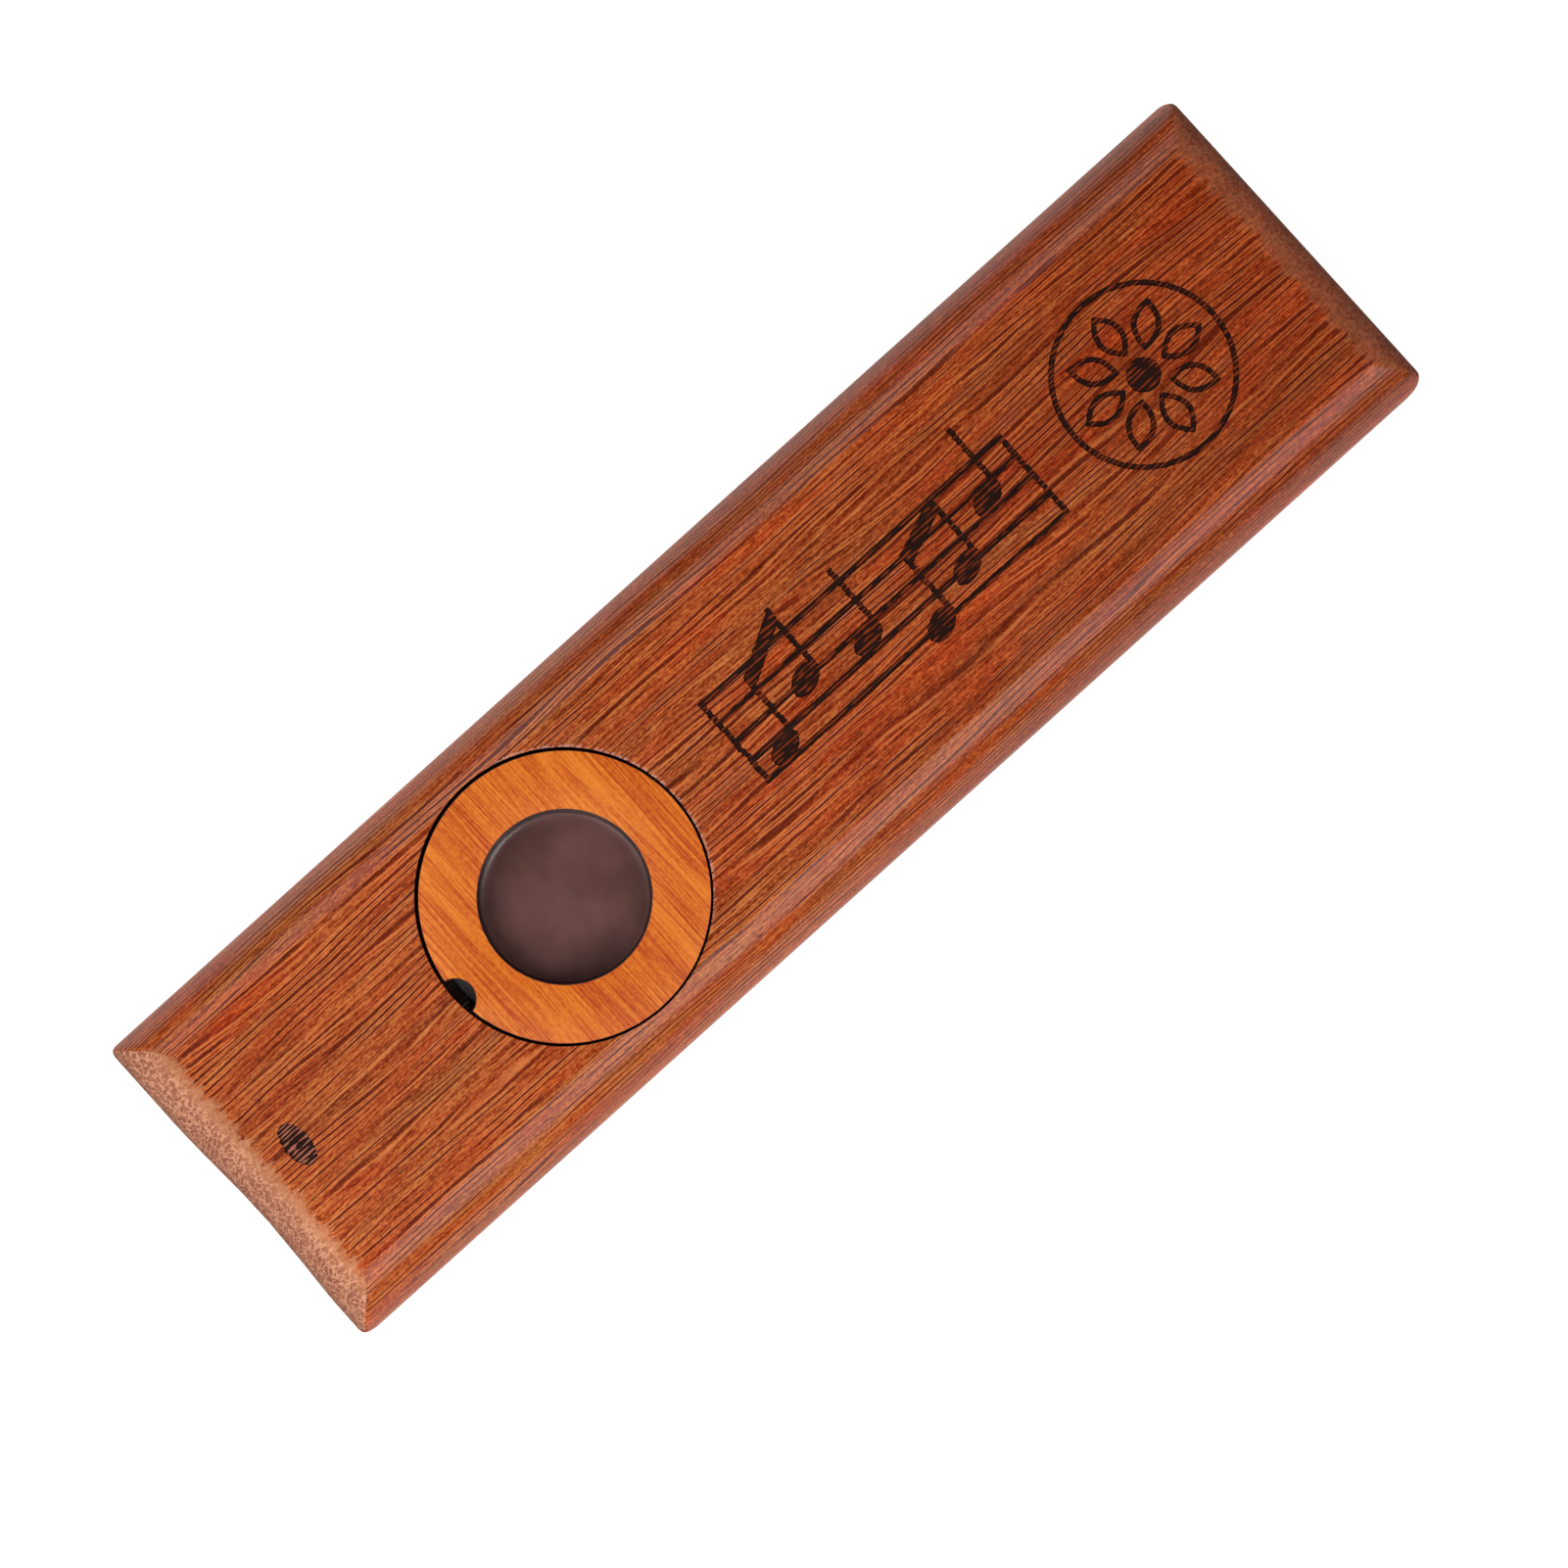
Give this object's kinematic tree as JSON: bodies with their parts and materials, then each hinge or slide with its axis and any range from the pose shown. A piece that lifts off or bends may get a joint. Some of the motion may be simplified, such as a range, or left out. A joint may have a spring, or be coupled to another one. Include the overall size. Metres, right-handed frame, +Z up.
{
  "type": "kazoo",
  "caption": "Flat hardwood kazoo: a rounded bar with an air channel through it and a membrane under a round removable cover ring that magnets hold.",
  "frame": {"origin": "centre of the flat underside", "axes": "+X along the body, from the mouth end to the far end; +Y across it; +Z up, out of the face that carries the cover ring"},
  "size_m": [0.12, 0.0322, 0.015],
  "materials": {
    "body_wood": "oiled reddish-brown hardwood with open pores, satin",
    "ring_wood": "varnished orange veneer board, grain across the body, scorched cut edges",
    "film": "glossy dark film",
    "rim_board": "matt black",
    "magnet": "bright nickel plating"
  },
  "bodies": {
    "body": {"upper_body": "body_wood", "lower_body": "body_wood", "seat_magnet_1": "magnet", "seat_magnet_2": "magnet", "seat_magnet_3": "magnet", "seat_magnet_4": "magnet"},
    "ring": {"cover_ring": "ring_wood", "ring_magnet_1": "magnet", "ring_magnet_2": "magnet", "ring_magnet_3": "magnet", "ring_magnet_4": "magnet"},
    "membrane": {"membrane_film": "film", "membrane_rim": "rim_board"}
  },
  "joints": [
    {"name": "ring_lift", "type": "slide", "parent": "body", "child": "ring", "axis": [0, 0, 1], "range_m": [0, 0.012]},
    {"name": "membrane_lift", "type": "slide", "parent": "body", "child": "membrane", "axis": [0, 0, 1], "range_m": [0, 0.006]}
  ],
  "couplings": [
    {"joint": "membrane_lift", "follows": "ring_lift", "ratio": 0.5}
  ]
}
